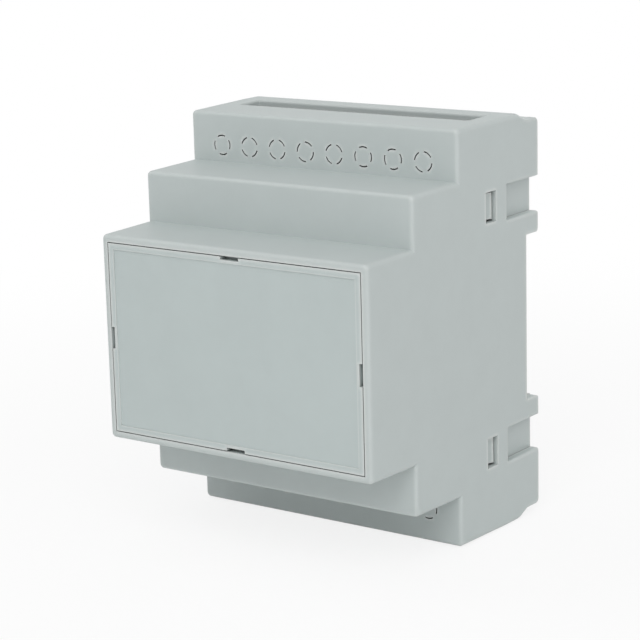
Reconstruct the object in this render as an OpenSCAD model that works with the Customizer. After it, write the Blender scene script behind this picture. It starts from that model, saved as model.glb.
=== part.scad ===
// DIN-rail enclosure for one circuit board, with terminals along its top and bottom ends.
// A stepped cover snaps over a rear tray, a plate closes the front, and a sliding latch
// locks the tray onto a 35 mm top-hat rail.
//
// X runs along the rail, Y from the front face back towards the rail, and Z upwards.
// The origin is the middle of the face that seats on the rail, so the front has negative Y.

/* [Body] */
// Width across the side walls, at the rail side
body_w = 71; // [56:0.5:110]
// Height across the terminal shoulders, at their front edges
body_h = 90.6; // [86:0.2:100]
// Depth from the rearmost plane to the front face
body_d = 65; // [60:0.5:75]
// Wall thickness of the cover
wall = 2; // [1.6:0.1:2.4]
// Wall thickness of the cover's ends, over the terminals
end_wall = 1.7; // [1.4:0.1:2]
// Wall thickness of the base
base_wall = 1.8; // [1.4:0.1:2.2]
// Rounding of the cover's outer edges
edge_r = 0.8; // [0.4:0.1:1.2]
// Draft of the cover's moulded walls, in degrees
draft = 1; // [0.5:0.1:1.5]

/* [Tiers] */
// Height of the front tier at the front face
front_h = 45.3; // [40:0.1:50]
// Height of the middle tier at its own face
middle_h = 68; // [62:0.2:74]
// Depth from the rearmost plane to the face of the middle tier
middle_d = 49; // [44:0.5:54]
// Depth from the rearmost plane to the faces of the terminal shoulders
shoulder_d = 32.2; // [30:0.2:38]
// Depth of the straight zone of the cover, behind its parting line
straight_d = 13.3; // [13.2:0.1:14.5]

/* [Rail] */
// Width of the rail across its two flanges
rail_w = 35; // [33:0.5:36]
// Thickness of the rail's flanges
rail_t = 1; // [0.8:0.1:1.3]
// Play between a flange and the hook behind it
rail_play = 0.3; // [0.2:0.05:0.5]
// How far the hooks and the latch reach behind a flange
hook_reach = 1.2; // [0.8:0.1:1.6]
// Depth of the recess that clears the rail
recess_d = 5; // [4.8:0.1:5.5]
// Room above and below the rail in the recess
recess_room = 1.15; // [0.8:0.05:1.5]
// Width of each fixed hook
hook_w = 14; // [8:0.5:18]
// Thickness of the hooks and of the latch's nose, at their tips
tip_t = 1.2; // [1:0.1:1.5]

/* [Front panel] */
// Rim of the cover left round the panel
rim = 1.55; // [1.2:0.05:1.9]
// Thickness of the panel's plate
panel_t = 2; // [1.6:0.1:2.6]
// Gap between the panel and the rim
panel_gap = 0.2; // [0.1:0.05:0.3]
// Width of the panel's raised border
border_w = 1.35; // [0.8:0.05:2]
// Depth of the panel's field below its border
field_sink = 0.2; // [0.1:0.05:0.5]
// Width of the ledge that carries the panel
ledge_w = 1.6; // [1:0.1:2.4]
// Thickness of the ledge
ledge_t = 1.2; // [0.8:0.1:2]
// Length of a pry notch along the panel's edge
notch_l = 4.8; // [3:0.2:8]
// Depth of a pry notch in from the panel's edge
notch_d = 0.7; // [0.4:0.05:1]
// Width of a snap leg behind the panel
leg_w = 6; // [4:0.5:10]
// Distance of the snap legs from the panel's middle
leg_x = 18; // [12:0.5:20]
// Thickness of a snap leg
leg_t = 1.2; // [0.8:0.1:1.6]
// Gap between a snap leg and the ledge
leg_gap = 0.4; // [0.3:0.05:0.6]

/* [Terminals] */
// Pitch of the terminal cells
pitch = 7.62; // [5:0.02:10.16]
// Depth of the wire slots, from front to rear
slot_d = 7.5; // [6:0.1:9]
// Distance from the rearmost plane to the rear edge of the wire slots
slot_rear = 13.1; // [12:0.1:14.5]
// Distance from the end of a wire slot to the outside of the cover
slot_end = 5; // [4.8:0.1:7]
// Rounding of a wire slot's rim
slot_rim = 0.55; // [0.3:0.05:0.8]
// Outer diameter of a screw knockout
knockout_dia = 4.6; // [3.6:0.1:5]
// Width of the cuts that outline a knockout
knockout_cut = 0.3; // [0.2:0.05:0.5]
// Angle that each outlining cut spans, in degrees
knockout_span = 56; // [40:1:70]
// Distance from a shoulder's end face to its knockouts' centres
knockout_inset = 7.3; // [5:0.1:8]

/* [Snaps] */
// Distance of the snaps above and below the middle
snap_z = 27.1; // [26:0.1:32]
// Height of a snap's window
window_h = 6.7; // [5.5:0.1:7.5]
// Height of a release channel
channel_h = 7.8; // [7.6:0.1:9]
// Rounding of a channel's rim
channel_rim = 0.5; // [0.3:0.05:0.8]
// Depth of a snap's window, from front to rear
window_d = 4; // [3:0.1:5]
// Depth of the strip between a window and its channel
bridge_d = 4.5; // [3.5:0.1:5.5]
// Depth of a release channel, from the rearmost plane
channel_d = 13; // [11:0.1:13.2]
// Height of a catch above its snap arm
catch_h = 1.15; // [0.6:0.05:1.4]

/* [Rail latch] */
// Width of the latch across its flanges
latch_w = 24; // [18:0.5:30]
// Travel of the latch from locked to released
latch_travel = 3.5; // [2.5:0.1:4.5]
// Thickness of the latch's flanges
flange_t = 1.8; // [1.4:0.1:2]
// Width of the lips that hold the latch's flanges
lip_w = 1.5; // [1:0.1:2.5]
// Length of the latch's tab below the base
tab_l = 1.7; // [1.2:0.1:2]

/* [Board posts] */
// Distance between the posts across the width
post_dx = 54; // [36:1:56]
// Distance between the posts along the height
post_dz = 70; // [60:1:72]
// Diameter of a post
post_dia = 6; // [5:0.2:7]
// Diameter of a post's screw hole
screw_dia = 2.4; // [2:0.1:3]
// Depth of a post's screw hole
screw_l = 7; // [5:0.5:8]

/* [Fits] */
// Gap all round between the base and the cover
fit_gap = 0.15; // [0.1:0.05:0.3]
// Gap round the latch in its guide
slide_gap = 0.3; // [0.2:0.05:0.4]

/* [Hidden] */
$fn = 64;
light_grey = [0.79, 0.81, 0.81];
cut = 1;                      // how far a cutter runs past the face it opens
arc_steps = 6;                // straight steps in a rounded corner of an outline
corner_r = edge_r + 0.25;     // rounding of the cover's edges that run front to rear
inner_r = 0.3;                // rounding in the corners of openings with a rounded rim

rear_y = recess_d;
front_y = rear_y - body_d;
middle_y = rear_y - middle_d;
shoulder_y = rear_y - shoulder_d;
line_y = rear_y - straight_d;

// Half width of the cover's outside at depth y: it tapers ahead of the parting line
function half_w(y) = body_w / 2 - tan(draft) * max(0, line_y - y);
// Half height at depth y of a tier that is h high at its face
function half_h(h, face_y, y) = h / 2 + tan(draft) * (min(y, line_y) - face_y);

end_z = half_h(body_h, shoulder_y, line_y);   // outside of the end walls at the rear
tail_z = end_z - end_wall;                    // top of the side walls' bare rear ends
tail_r = 0.4;                                 // rounding along that top
ramp_y = -3;                                  // start of the slope that ends the end walls
ramp_l = 3.2;
ramp_top_r = 1.5;
ramp_foot_r = 0.8;
recess_z = rail_w / 2 + recess_room;
hook_y = rail_t + rail_play;
hook_z = rail_w / 2 - hook_reach;

seat_w = 2 * (half_w(front_y) - rim);         // the panel's recess in the front face
seat_h = front_h - 2 * rim;
ledge_y = front_y + panel_t;
ledge_back = ledge_y + ledge_t;

slot_w = body_w - 2 * slot_end;
slot_back = rear_y - slot_rear;
cells = floor(slot_w / pitch);

base_w = body_w - 2 * (wall + fit_gap);
base_z = tail_z - fit_gap;
rim_y = slot_back - 0.2;                      // front edge of the base's upright walls
floor_y = rear_y - base_wall;                 // inside of the base's rear walls

channel_y = rear_y - channel_d;
bridge_y = channel_y - bridge_d;
window_y = bridge_y - window_d;

latch_z = base_z + tab_l;                     // lower end of the latch
latch_back = rear_y - slide_gap;
lip_y = hook_y + flange_t + slide_gap;
guide_y = hook_y - slide_gap;                 // floor of the latch's guide
guide_w = latch_w + 2 * slide_gap;

// Outline through corner points [a, b, radius], with each corner rounded to its radius
function rounded(corners) = [
    for (i = [0 : len(corners) - 1])
        let (n = len(corners), p = corners[i], r = p[2],
             u = unit(corners[(i + n - 1) % n] - p), v = unit(corners[(i + 1) % n] - p),
             half = acos(u * v) / 2,
             centre = flat(p) + (u + v) / norm(u + v) * r / sin(half),
             from = angle(flat(p) + u * r / tan(half) - centre),
             turn = angle(flat(p) + v * r / tan(half) - centre) - from,
             sweep = turn > 180 ? turn - 360 : turn < -180 ? turn + 360 : turn)
            each r == 0 ? [flat(p)]
                : [for (k = [0 : arc_steps])
                       centre + r * [cos(from + sweep * k / arc_steps), sin(from + sweep * k / arc_steps)]]
];
function flat(p) = [p[0], p[1]];
function unit(p) = flat(p) / norm(flat(p));
function angle(p) = atan2(p[1], p[0]);
// An upper outline of [y, z, radius] points, closed by its own reflection below the middle
function mirrored(upper) =
    concat(upper, [for (i = [len(upper) - 1 : -1 : 0]) [upper[i][0], -upper[i][1], upper[i][2]]]);

// Extrudes a side view, drawn as [y, z], across a width centred on the middle
module across(width) {
    translate([-width / 2, 0, 0]) rotate([90, 0, 90]) linear_extrude(width) children();
}
// Extrudes a front view, drawn as [x, z], from depth y to depth y_end
module through(y, y_end) {
    translate([0, y_end, 0]) rotate([90, 0, 0]) linear_extrude(y_end - y) children();
}
module at_both_ends() {
    children();
    mirror([0, 0, 1]) children();
}
module at_both_sides() {
    children();
    mirror([1, 0, 0]) children();
}
module at_corners() {
    at_both_ends() at_both_sides() children();
}

// ---------------------------------------------------------------- cover

// A rounded rectangle at depth y, as points: w and h are half sizes
function ring(w, h, r, y) = [
    for (c = [0 : 3], k = [0 : arc_steps])
        let (a = 90 * (c + k / arc_steps), sx = c == 0 || c == 3 ? 1 : -1, sz = c < 2 ? 1 : -1)
            [sx * (w - r) + r * cos(a), y, sz * (h - r) + r * sin(a)]
];
// The solid that runs through a list of rings with equal numbers of points
module loft(rings) {
    n = len(rings[0]);
    last = len(rings) - 1;
    polyhedron(
        [for (ring = rings) each ring],
        [[for (i = [n - 1 : -1 : 0]) i],
         for (k = [0 : last - 1], i = [0 : n - 1])
             [k * n + i, k * n + (i + 1) % n, (k + 1) * n + (i + 1) % n, (k + 1) * n + i],
         [for (i = [0 : n - 1]) last * n + i]]);
}

// Rings that round the edges of a tier's face and run back to the parting line
function tier(h, face_y) = [
    for (k = [0 : arc_steps + 1])
        let (a = min(k, arc_steps) * 90 / arc_steps, inset = edge_r * (1 - sin(a)),
             y = k > arc_steps ? line_y : face_y + edge_r * (1 - cos(a)))
            ring(half_w(y) - inset, half_h(h, face_y, y) - inset, corner_r - inset, y)
];
// Rings of the straight rear zone: end walls that slope off, and side walls that run on
function rear_zone() =
    let (upper = rounded([[line_y, end_z, 0], [ramp_y, end_z, ramp_top_r],
                          [ramp_y + ramp_l, tail_z, ramp_foot_r], [rear_y, tail_z, edge_r], [rear_y, 0, 0]]))
        [for (i = [1 : len(upper) - 2])
            let (z = upper[i][1], r = tail_r + (corner_r - tail_r) * (z - tail_z) / end_wall)
                ring(body_w / 2, z, max(r, tail_r), upper[i][0])];

module cover_outside() {
    loft(tier(front_h, front_y));
    loft(tier(middle_h, middle_y));
    loft(concat(tier(body_h, shoulder_y), rear_zone()));
}

// The room inside: the outline of the tiers, drawn in by the wall thickness
module cover_cavity() {
    inner = function(h, face_y, y) half_h(h, face_y, y) - wall;
    intersection() {
        across(body_w) polygon([for (p = mirrored([
            [ledge_back, inner(front_h, front_y, ledge_back), 0],
            [middle_y + wall, inner(front_h, front_y, middle_y + wall), 0],
            [middle_y + wall, inner(middle_h, middle_y, middle_y + wall), 0],
            [shoulder_y + wall, inner(middle_h, middle_y, shoulder_y + wall), 0],
            [shoulder_y + wall, half_h(body_h, shoulder_y, shoulder_y + wall) - end_wall, 0],
            [line_y, tail_z, 0], [rear_y + cut, tail_z, 0]])) flat(p)]);
        linear_extrude(body_h, center = true)
            polygon([for (s = [-1, 1], y = s < 0 ? [front_y, line_y, rear_y + 2 * cut]
                                                 : [rear_y + 2 * cut, line_y, front_y])
                         [s * (half_w(y) - wall), y]]);
    }
}

// The recess that the panel drops into, and the opening inside its ledge
module panel_seat() {
    through(front_y - cut, ledge_y) square([seat_w, seat_h], center = true);
    through(ledge_y - cut, ledge_back + cut)
        square([seat_w - 2 * ledge_w, seat_h - 2 * ledge_w], center = true);
}

// How far an opening's outline has widened, and its depth, from outside its rounded rim inwards
function rim_steps(r) = concat(
    [[r, -cut]],
    [for (k = [arc_steps : -1 : 0]) [r * (1 - cos(90 * k / arc_steps)), r * (1 - sin(90 * k / arc_steps))]],
    [[0, wall + cut]]);

module wire_slot() {
    middle = slot_back - slot_d / 2;
    loft([for (s = rim_steps(slot_rim))
        [for (p = ring(slot_w / 2 + s[0], slot_d / 2 + s[0], inner_r + s[0], 0))
            [p[0], middle + p[2], half_h(body_h, shoulder_y, middle + p[2]) - s[1]]]]);
}

// How far each knockout's webs are turned, in degrees: the tool marks differ along the row
function web_turn(i) = [5, 45, 50, 65, 45, 0, 8, 57][i % 8];

// A row of round knockouts: each is outlined by four cuts and hangs on the webs between them
module knockout_row() {
    for (i = [0 : cells - 1], quarter = [0 : 3])
        translate([(i - (cells - 1) / 2) * pitch, shoulder_y - cut, body_h / 2 - knockout_inset])
            rotate([-90, 0, 0]) rotate([0, 0, -web_turn(i) - 90 * quarter - knockout_span / 2])
                rotate_extrude(angle = knockout_span)
                    translate([knockout_dia / 2 - knockout_cut, 0]) square([knockout_cut, wall + 2 * cut]);
}

// The window that a snap's catch fills
module snap_window() {
    translate([base_w / 2 - cut, window_y, snap_z - window_h / 2]) cube([wall + 3 * cut, window_d, window_h]);
}
// The channel behind it for a screwdriver, which runs out at the rear
module release_channel() {
    half_l = channel_d / 2 + cut;
    loft([for (s = rim_steps(channel_rim))
        [for (p = ring(half_l + s[0], channel_h / 2 + s[0], inner_r + s[0], 0))
            [body_w / 2 - s[1], channel_y + half_l + p[0], snap_z + p[2]]]]);
}

// The cut through the side walls that clears the rail, with its rear lips rounded
module rail_recess() {
    across(body_w + 2 * cut) polygon(rounded([
        [0, recess_z, 0], [rear_y, recess_z, edge_r], [rear_y, recess_z + 2 * edge_r, 0],
        [rear_y + cut, recess_z + 2 * edge_r, 0], [rear_y + cut, -recess_z - 2 * edge_r, 0],
        [rear_y, -recess_z - 2 * edge_r, 0], [rear_y, -recess_z, edge_r], [0, -recess_z, 0]]));
}

module cover() {
    color(light_grey) difference() {
        cover_outside();
        cover_cavity();
        panel_seat();
        rail_recess();
        at_both_ends() wire_slot();
        for (turn = [0, 180]) rotate([0, turn, 0]) knockout_row();
        at_corners() snap_window();
        at_corners() release_channel();
    }
}

// ---------------------------------------------------------------- base

// Side view of the base, drawn in by an inset: deep feet with the rail's seat between them
module base_view(inset) {
    polygon([for (p = mirrored([
        [rim_y - (inset > 0 ? cut : 0), base_z - inset, 0], [rear_y - inset, base_z - inset, 0],
        [rear_y - inset, recess_z + inset, 0], [-inset, recess_z + inset, 0]])) flat(p)]);
}

// A fixed hook over the rail's upper flange, sloped so that the rail finds its way in
hook_back = rear_y - 0.6;
hook_x = 14;
module fixed_hook() {
    translate([hook_x, 0, 0]) across(hook_w)
        polygon([[hook_y, hook_z], [hook_y, recess_z + cut], [hook_back, recess_z + cut],
                 [hook_back, recess_z], [hook_y + tip_t, hook_z]]);
}

// Windows in the seat, which let the mould form the face of a hook, and which clear the latch's nose
shut_off = 0.5;
module seat_window(width) {
    translate([-width / 2, -base_wall - cut, hook_z - shut_off])
        cube([width, base_wall + cut + hook_y, recess_z - hook_z + shut_off]);
}

// A flexible arm in the side wall, whose slits the cover hides
arm_h = channel_h + 0.8;
arm_slit = 0.8;
arm_lead = 0.6;      // how far the arm's tip passes the window and is thinned
module snap_arm() {
    inside = base_w / 2 - base_wall;
    outside = base_w / 2;
    translate([0, 0, snap_z - arm_h / 2]) linear_extrude(arm_h)
        polygon([[inside, floor_y], [inside, window_y - arm_lead], [outside - arm_lead, window_y - arm_lead],
                 [outside, window_y], [outside, floor_y]]);
    catch();
}
// The catch that snaps into the cover's window
catch_gap = 0.3;     // between the catch and the bridge that holds it
catch_land = 0.3;    // flat top of the catch
catch_w = window_h - 1;
module catch() {
    outside = base_w / 2;
    catch_y = bridge_y - catch_gap;
    translate([0, 0, snap_z - catch_w / 2]) linear_extrude(catch_w)
        polygon([[outside - arm_lead, window_y + catch_gap], [outside, window_y + catch_gap],
                 [outside + catch_h, catch_y - catch_land], [outside + catch_h, catch_y],
                 [outside - arm_lead, catch_y]]);
}
module arm_slits() {
    for (s = [-1, 1]) translate([0, 0, snap_z + s * (arm_h + arm_slit) / 2])
        translate([base_w / 2 - base_wall - cut, rim_y - cut, -arm_slit / 2])
            cube([base_wall + 2 * cut, floor_y - rim_y, arm_slit]);
}

// Slits in the front edge of an end wall, one at each border between two terminal cells
comb_w = 1;
comb_l = 3;
module wire_comb() {
    for (i = [0 : cells])
        translate([(i - cells / 2) * pitch - comb_w / 2, rim_y - cut, base_z - base_wall - cut])
            cube([comb_w, comb_l + cut, base_wall + 2 * cut]);
}

// A post for the board, as far back as the board is thick, and the hole for its screw
board_t = 1.6;
post_y = rim_y + board_t;
module post() {
    translate([post_dx / 2, post_y, post_dz / 2]) rotate([-90, 0, 0])
        cylinder(d = post_dia, h = rear_y - base_wall / 2 - post_y);
}
module post_hole() {
    translate([post_dx / 2, post_y - cut, post_dz / 2]) rotate([-90, 0, 0])
        cylinder(d = screw_dia, h = screw_l + cut);
}

// The block in the lower foot that the latch's guide is cut into
module guide_block() {
    block_w = guide_w + 2 * base_wall;
    translate([-block_w / 2, guide_y - base_wall, -base_z])
        cube([block_w, rear_y - guide_y + base_wall, base_z - recess_z]);
}
// The guide: wide under its lips and narrow between them, with two detent notches a side
notch_z = 30;
notch_cut = 0.6;
nub_l = 1.6;
nub_h = 0.2;
nub_root = 0.1;      // how far a nub starts inside its finger
module latch_guide() {
    long = base_z - hook_z + 2 * cut;
    translate([-guide_w / 2, guide_y, -base_z - cut]) cube([guide_w, lip_y - guide_y, long]);
    translate([-guide_w / 2 + lip_w, guide_y, -base_z - cut]) cube([guide_w - 2 * lip_w, rear_y, long]);
    for (step = [0, latch_travel])
        translate([-guide_w / 2 - notch_cut, guide_y, -notch_z - step - nub_l / 2 - slide_gap])
            cube([guide_w + 2 * notch_cut, lip_y - guide_y, nub_l + 2 * slide_gap]);
}

module base() {
    color(light_grey) difference() {
        union() {
            difference() {
                across(base_w) base_view(0);
                across(base_w - 2 * base_wall) base_view(base_wall);
                at_both_ends() wire_comb();
                at_corners() arm_slits();
                at_both_sides() translate([hook_x, 0, 0]) seat_window(hook_w + 2 * shut_off);
                mirror([0, 0, 1]) seat_window(spine_w + 2 * shut_off);
            }
            at_corners() snap_arm();
            at_corners() post();
            at_both_sides() fixed_hook();
            guide_block();
        }
        latch_guide();
        at_corners() post_hole();
    }
}

// ---------------------------------------------------------------- front panel

plate_w = seat_w - 2 * panel_gap;
plate_h = seat_h - 2 * panel_gap;
leg_z = seat_h / 2 - ledge_w - leg_gap;
leg_root = 0.5;      // how far a leg starts inside the plate
barb_gap = 0.1;
barb_h = leg_gap - barb_gap;
barb_l = 1.6;
barb_lead = 0.2;
module panel_plate() {
    difference() {
        through(front_y, ledge_y) square([plate_w, plate_h], center = true);
        through(front_y - cut, front_y + field_sink)
            square([plate_w - 2 * border_w, plate_h - 2 * border_w], center = true);
        at_corners() translate([0, front_y - cut, plate_h / 2 - notch_d])
            cube([notch_l / 2, panel_t + 2 * cut, notch_d + cut]);
        at_corners() translate([plate_w / 2 - notch_d, front_y - cut, 0])
            cube([notch_d + cut, panel_t + 2 * cut, notch_l / 2]);
    }
}

// A leg that passes the ledge, with a barb behind it
module snap_leg() {
    barb_y = ledge_back + barb_gap;
    translate([leg_x, 0, 0]) across(leg_w)
        polygon([[ledge_y - leg_root, leg_z - leg_t], [ledge_y - leg_root, leg_z], [barb_y, leg_z],
                 [barb_y, leg_z + barb_h], [barb_y + barb_l, leg_z - barb_lead],
                 [barb_y + barb_l, leg_z - leg_t]]);
}

module front_panel() {
    color(light_grey) {
        panel_plate();
        at_corners() snap_leg();
    }
}

// ---------------------------------------------------------------- rail latch

finger_w = 2.2;
finger_l = 12;
finger_gap = 1;
spine_w = latch_w - 2 * lip_w;
blade_w = 7;         // slot in the tab for a screwdriver's blade
blade_t = 1.6;
tab_land = 1.4;      // from the slot to the tab's end
module latch_plan() {
    translate([-spine_w / 2, -latch_z]) square([spine_w, latch_z - hook_z]);
}
module flange_plan() {
    translate([-latch_w / 2, -base_z]) square([latch_w, base_z - recess_z - shut_off]);
    for (s = [-1, 1]) translate([s * latch_w / 2, -notch_z])
        polygon([[-s * nub_root, -nub_l / 2], [-s * nub_root, nub_l / 2],
                 [s * nub_h, nub_l / 4], [s * nub_h, -nub_l / 4]]);
}
// The cut that frees a finger on each side, open at the finger's upper end
module finger_cut() {
    translate([latch_w / 2 - finger_w - finger_gap, hook_y - cut, -notch_z - finger_l + nub_l])
        cube([finger_gap, rear_y, finger_l]);
    translate([latch_w / 2 - finger_w - finger_gap, hook_y - cut, -notch_z + nub_l])
        cube([finger_w + finger_gap + cut, rear_y, finger_gap]);
}

module rail_latch() {
    color(light_grey) difference() {
        union() {
            through(hook_y, latch_back) latch_plan();
            through(hook_y, hook_y + flange_t) flange_plan();
        }
        at_both_sides() finger_cut();
        // the slope on the nose, which the rail pushes aside
        across(latch_w + 2 * cut) polygon([[hook_y + tip_t, -hook_z + cut], [hook_y + tip_t, -hook_z],
            [latch_back, -recess_z], [latch_back + cut, -recess_z], [latch_back + cut, -hook_z + cut]]);
        translate([-blade_w / 2, hook_y - cut, -latch_z + tab_land]) cube([blade_w, rear_y, blade_t]);
    }
}

base();
cover();
front_panel();
rail_latch();
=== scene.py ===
"""Looks of a grey DIN-rail enclosure: moulded plastics, a pale studio and the camera.

Units are metres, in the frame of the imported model: X along the rail, Y from the front
face back towards the rail, Z up, with the origin on the face that seats on the rail.
"""
import math

import bpy
from mathutils import Matrix, Vector


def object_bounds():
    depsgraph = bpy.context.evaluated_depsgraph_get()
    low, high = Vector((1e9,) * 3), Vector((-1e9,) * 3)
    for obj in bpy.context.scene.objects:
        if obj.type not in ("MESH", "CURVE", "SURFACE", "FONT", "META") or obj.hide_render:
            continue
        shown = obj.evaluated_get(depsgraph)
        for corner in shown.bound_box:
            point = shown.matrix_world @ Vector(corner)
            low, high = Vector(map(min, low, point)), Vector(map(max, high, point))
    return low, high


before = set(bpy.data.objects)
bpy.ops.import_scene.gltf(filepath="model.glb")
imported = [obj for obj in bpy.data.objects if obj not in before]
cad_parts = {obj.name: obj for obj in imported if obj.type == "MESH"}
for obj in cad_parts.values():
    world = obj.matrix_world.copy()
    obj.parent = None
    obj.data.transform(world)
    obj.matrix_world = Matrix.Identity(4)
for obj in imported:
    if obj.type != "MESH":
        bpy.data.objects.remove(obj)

MM = 0.001
CAD_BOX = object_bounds()
FLOOR_Z = CAD_BOX[0][2]


def srgb(r, g, b):
    """Linear colour from 8-bit sRGB values."""
    def linear(v):
        v /= 255
        return v / 12.92 if v <= 0.04045 else ((v + 0.055) / 1.055) ** 2.4
    return (linear(r), linear(g), linear(b), 1.0)


WHITE = (1.0, 1.0, 1.0, 1.0)

# plastics
COVER_GREY = srgb(186, 194, 193)
PANEL_GREY = srgb(183, 193, 192)
# painted highlight: a paler colour mixed in along outer edges, within this width
EDGE_HIGHLIGHT_COLOUR = srgb(208, 212, 210)
EDGE_HIGHLIGHT_WIDTH = 0.85 * MM
EDGE_HIGHLIGHT_STRENGTH = 0.8
# painted shade: the colour darkens on the walls of narrow slits
SLIT_SHADE_REACH = 1.2 * MM
SLIT_PAINTED_SHADE = 0.12
AO_SAMPLES = 8
MOTTLE_SCALE = 140.0
MOTTLE_DEPTH = 0.012
SHEEN_SPREAD = 0.05
PLASTIC_IOR = 1.5
COARSE_GRAIN_SCALE = 2200.0
FINE_GRAIN_SCALE = 5200.0
GRAIN_HEIGHT = 0.02 * MM
GRAIN_STRENGTH = 0.35

# studio
TENT_STRENGTH = 0.51
FLOOR_HALF = 3.0
FLOOR_PALE = (0.97, 0.97, 0.97, 1.0)
FLOOR_BLEACH = 0.82
SHADOW_NEAR = 0.08
SHADOW_FAR = 0.30
LAMP_DISTANCE = 1.2
LAMP_SIZE = 0.8
LAMP_TARGET = Vector((0.0, -0.02, 0.0))
# azimuth from the front towards +X and elevation in degrees, power in watts
LAMPS = {
    "key": (30, 45, 4.9),
    "right": (85, 20, 1.15),
    "camera_side": (30, 20, 1.2),
    "left": (-80, 45, 1.7),
    "rear": (185, 5, 2.0),
}

# camera
CAMERA_PLACE = Vector((0.2746, -0.4067, 0.1101))
CAMERA_AZIMUTH = math.radians(35.99)
CAMERA_ELEVATION = math.radians(13.11)
CAMERA_ROLL = math.radians(-1.49)
CAMERA_LENS = 123.1
CAMERA_SENSOR = 36.0
CAMERA_NEAR = 0.01
CAMERA_FAR = 20.0


def direction(azimuth, elevation):
    """Unit vector towards an azimuth, counted from the front towards +X, and an elevation."""
    level = math.cos(elevation)
    return Vector((math.sin(azimuth) * level, -math.cos(azimuth) * level, math.sin(elevation)))


class Nodes:
    """A short way to build a material's node tree."""

    def __init__(self, name):
        self.material = bpy.data.materials.new(name)
        self.material.use_nodes = True
        self.tree = self.material.node_tree
        self.shader = self.tree.nodes["Principled BSDF"]

    def add(self, kind, inputs=None, **settings):
        """A new node with its settings, and its inputs linked or set."""
        node = self.tree.nodes.new(kind)
        for key, value in settings.items():
            setattr(node, key, value)
        for socket, value in (inputs or {}).items():
            self.set(node, socket, value)
        return node

    def set(self, node, socket, value):
        target = node.inputs[socket]
        if isinstance(value, bpy.types.NodeSocket):
            self.tree.links.new(value, target)
        else:
            target.default_value = value

    def mix_colour(self, factor, first, second, **settings):
        """The colour between two colours; sockets 6, 7 and 2 are the node's colour sockets."""
        mix = self.add("ShaderNodeMix", {"Factor": factor, 6: first, 7: second}, data_type="RGBA", **settings)
        return mix.outputs[2]


# ---------------------------------------------------------------- materials

def moulded_plastic(name, colour, roughness):
    """Matt moulded plastic: eroded-mould grain, faint flow mottling, painted highlights along outer edges and
    painted shade in narrow slits.
    """
    n = Nodes(name)
    place = n.add("ShaderNodeTexCoord").outputs["Object"]

    mottle = n.add("ShaderNodeTexNoise", {"Vector": place, "Scale": MOTTLE_SCALE, "Detail": 4.0,
                                          "Roughness": 0.6})
    tint = n.add("ShaderNodeValToRGB", {"Fac": mottle.outputs["Fac"]})
    deeper, paler = tint.color_ramp.elements
    deeper.position, paler.position = 0.35, 0.65
    deeper.color = [c * (1 - MOTTLE_DEPTH) for c in colour[:3]] + [1.0]
    paler.color = [c * (1 + MOTTLE_DEPTH) for c in colour[:3]] + [1.0]

    # looking inwards, only outer edges have another face close by; there a paler colour is mixed in as a
    # painted highlight
    inwards = n.add("ShaderNodeAmbientOcclusion", {"Distance": EDGE_HIGHLIGHT_WIDTH}, inside=True,
                    samples=AO_SAMPLES, only_local=True)
    edge_highlight = n.add("ShaderNodeMapRange", {"Value": inwards.outputs["AO"], "From Min": 1.0, "From Max": 0.55,
                                        "To Min": 0.0, "To Max": EDGE_HIGHLIGHT_STRENGTH})
    highlighted = n.mix_colour(edge_highlight.outputs["Result"], tint.outputs["Color"], EDGE_HIGHLIGHT_COLOUR)

    # looking outwards, only the walls of a narrow slit are shut in on nearly all sides; there the colour is
    # darkened as painted shade
    outwards = n.add("ShaderNodeAmbientOcclusion", {"Distance": SLIT_SHADE_REACH}, samples=AO_SAMPLES)
    slit_shade = n.add("ShaderNodeMapRange", {"Value": outwards.outputs["AO"], "From Min": 0.12,
                                            "From Max": 0.42, "To Min": SLIT_PAINTED_SHADE, "To Max": 1.0})
    n.set(n.shader, "Base Color",
          n.mix_colour(1.0, highlighted, slit_shade.outputs["Result"], blend_type="MULTIPLY"))

    sheen = n.add("ShaderNodeMapRange", {"Value": mottle.outputs["Fac"], "To Min": roughness - SHEEN_SPREAD,
                                         "To Max": roughness + SHEEN_SPREAD})
    n.set(n.shader, "Roughness", sheen.outputs["Result"])
    n.set(n.shader, "IOR", PLASTIC_IOR)

    coarse = n.add("ShaderNodeTexNoise", {"Vector": place, "Scale": COARSE_GRAIN_SCALE, "Detail": 2.0,
                                          "Roughness": 0.6})
    fine = n.add("ShaderNodeTexNoise", {"Vector": place, "Scale": FINE_GRAIN_SCALE, "Detail": 1.0})
    height = n.add("ShaderNodeMath", {0: coarse.outputs["Fac"], 1: fine.outputs["Fac"]}, operation="ADD")
    bump = n.add("ShaderNodeBump", {"Height": height.outputs["Value"], "Strength": GRAIN_STRENGTH,
                                    "Distance": GRAIN_HEIGHT})
    n.set(n.shader, "Normal", bump.outputs["Normal"])
    return n.material


def dress_nodes():
    materials = {
        "cover": moulded_plastic("cover_plastic", COVER_GREY, 0.5),
        "base": moulded_plastic("base_plastic", COVER_GREY, 0.5),
        "front_panel": moulded_plastic("panel_plastic", PANEL_GREY, 0.5),
        "rail_latch": moulded_plastic("latch_plastic", COVER_GREY, 0.45),
    }
    for name, material in materials.items():
        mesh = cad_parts[name].data
        mesh.materials.clear()
        mesh.materials.append(material)


# ---------------------------------------------------------------- studio

def seen_directly(tree):
    """1 for a ray that looks straight at a surface, in glass or in a gloss, 0 for one that lights."""
    rays = tree.nodes.new("ShaderNodeLightPath").outputs
    seen = rays["Is Camera Ray"]
    for other in ("Is Glossy Ray", "Is Transmission Ray"):
        either = tree.nodes.new("ShaderNodeMath")
        either.operation = "MAXIMUM"
        tree.links.new(seen, either.inputs[0])
        tree.links.new(rays[other], either.inputs[1])
        seen = either.outputs["Value"]
    return seen


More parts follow.
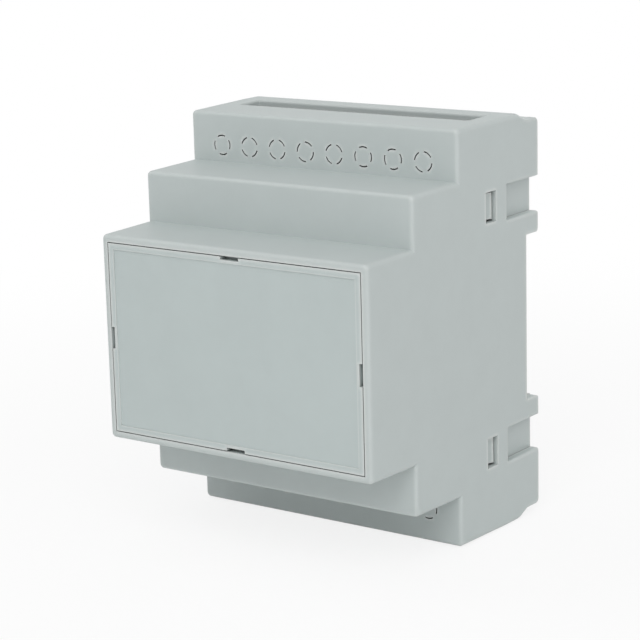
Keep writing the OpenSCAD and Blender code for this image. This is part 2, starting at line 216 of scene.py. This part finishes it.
def white_world():
    """Even light from all round, and plain white where it is looked at."""
    world = bpy.data.worlds.new("studio_world")
    bpy.context.scene.world = world
    world.use_nodes = True
    tree = world.node_tree
    lights = tree.nodes["Background"]
    white = tree.nodes.new("ShaderNodeBackground")
    for background, strength in ((lights, TENT_STRENGTH), (white, 1.0)):
        background.inputs["Color"].default_value = WHITE
        background.inputs["Strength"].default_value = strength
    mix = tree.nodes.new("ShaderNodeMixShader")
    tree.links.new(seen_directly(tree), mix.inputs["Fac"])
    tree.links.new(lights.outputs["Background"], mix.inputs[1])
    tree.links.new(white.outputs["Background"], mix.inputs[2])
    tree.links.new(mix.outputs["Shader"], tree.nodes["World Output"].inputs["Surface"])


def pale_floor():
    """A plain floor with the object's shadow, whiter away from it and clear from below."""
    mesh = bpy.data.meshes.new("studio_floor")
    corners = [(-1, -1), (1, -1), (1, 1), (-1, 1)]
    mesh.from_pydata([(x * FLOOR_HALF, y * FLOOR_HALF, FLOOR_Z) for x, y in corners], [], [(0, 1, 2, 3)])
    floor = bpy.data.objects.new("studio_floor", mesh)
    bpy.context.scene.collection.objects.link(floor)

    n = Nodes("studio_floor")
    n.set(n.shader, "Base Color", FLOOR_PALE)
    n.set(n.shader, "Roughness", 0.9)
    n.set(n.shader, "Specular IOR Level", 0.0)
    where = n.add("ShaderNodeNewGeometry").outputs
    away = n.add("ShaderNodeVectorMath", {0: where["Position"]}, operation="LENGTH")
    whiter = n.add("ShaderNodeMapRange", {"Value": away.outputs["Value"], "From Min": SHADOW_NEAR,
                                          "From Max": SHADOW_FAR, "To Min": FLOOR_BLEACH, "To Max": 1.0},
                   interpolation_type="SMOOTHSTEP")
    bleach = n.add("ShaderNodeMath", {0: seen_directly(n.tree), 1: whiter.outputs["Result"]},
                   operation="MULTIPLY")
    white = n.add("ShaderNodeEmission", {"Color": WHITE, "Strength": 1.0})
    above = n.add("ShaderNodeMixShader", {"Fac": bleach.outputs["Value"], 1: n.shader.outputs["BSDF"],
                                          2: white.outputs["Emission"]})
    clear = n.add("ShaderNodeBsdfTransparent")
    mix = n.add("ShaderNodeMixShader", {"Fac": where["Backfacing"], 1: above.outputs["Shader"],
                                        2: clear.outputs["BSDF"]})
    n.set(n.tree.nodes["Material Output"], "Surface", mix.outputs["Shader"])
    mesh.materials.append(n.material)


def lamps():
    """Soft square lamps on a sphere round the object."""
    for name, (azimuth, elevation, watts) in LAMPS.items():
        light = bpy.data.lights.new(name, "AREA")
        light.energy = watts
        light.size = LAMP_SIZE
        lamp = bpy.data.objects.new(name, light)
        bpy.context.scene.collection.objects.link(lamp)
        way = direction(math.radians(azimuth), math.radians(elevation))
        lamp.location = LAMP_TARGET + LAMP_DISTANCE * way
        lamp.rotation_euler = (LAMP_TARGET - lamp.location).to_track_quat("-Z", "Y").to_euler()


def camera():
    """The photo's three-quarter view."""
    data = bpy.data.cameras.new("camera")
    data.lens = CAMERA_LENS
    data.sensor_width = CAMERA_SENSOR
    data.clip_start = CAMERA_NEAR
    data.clip_end = CAMERA_FAR
    obj = bpy.data.objects.new("camera", data)
    bpy.context.scene.collection.objects.link(obj)
    back = direction(CAMERA_AZIMUTH, CAMERA_ELEVATION)
    level = Vector((math.cos(CAMERA_AZIMUTH), math.sin(CAMERA_AZIMUTH), 0.0))
    upright = back.cross(level)
    right = math.cos(CAMERA_ROLL) * level + math.sin(CAMERA_ROLL) * upright
    up = back.cross(right)
    turn = Matrix((right, up, back)).transposed().to_4x4()
    obj.matrix_world = Matrix.Translation(CAMERA_PLACE) @ turn
    bpy.context.scene.camera = obj


bpy.context.scene.view_settings.view_transform = "Standard"
camera()
dress_nodes()
white_world()
pale_floor()
lamps()
